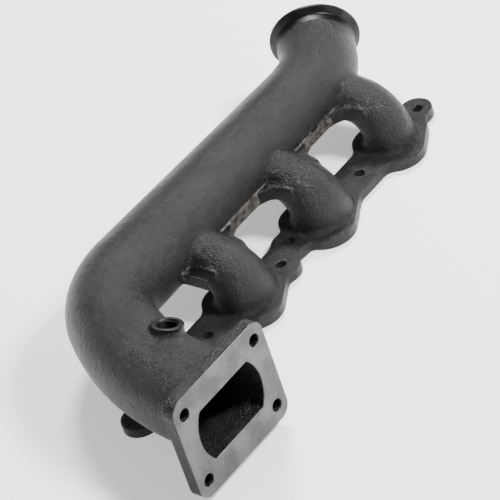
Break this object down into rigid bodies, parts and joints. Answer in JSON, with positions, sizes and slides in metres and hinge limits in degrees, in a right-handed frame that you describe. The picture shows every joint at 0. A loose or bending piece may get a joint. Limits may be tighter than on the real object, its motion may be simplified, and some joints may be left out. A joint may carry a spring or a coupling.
{
  "type": "turbo exhaust manifold",
  "caption": "Cast-iron log exhaust manifold: ports in a head flange, runners into a log, an oblong turbo flange at one end and a V-band outlet at the other.",
  "frame": {"origin": "centre of the head gasket face, midway along the row of ports", "axes": "+X along the engine towards the outlet, +Y from the ports towards the log, +Z away from the cylinder head"},
  "size_m": [0.5106, 0.258, 0.107],
  "materials": {
    "cast_skin": "sand-cast, blackened",
    "turbo_flange_iron": "ground face, cast sides",
    "outlet_flange_iron": "turned, blackened"
  },
  "bodies": {
    "root": {"head_flange": "cast_skin", "runner_1": "cast_skin", "runner_2": "cast_skin", "runner_3": "cast_skin", "runner_4": "cast_skin", "collector_log": "cast_skin", "turbo_elbow": "cast_skin", "turbo_neck": "cast_skin", "outlet_elbow": "cast_skin", "sensor_boss": "cast_skin", "window_land_12": "cast_skin", "window_land_23": "cast_skin", "window_land_34": "cast_skin", "turbo_flange": "turbo_flange_iron", "outlet_flange": "outlet_flange_iron"}
  },
  "joints": []
}
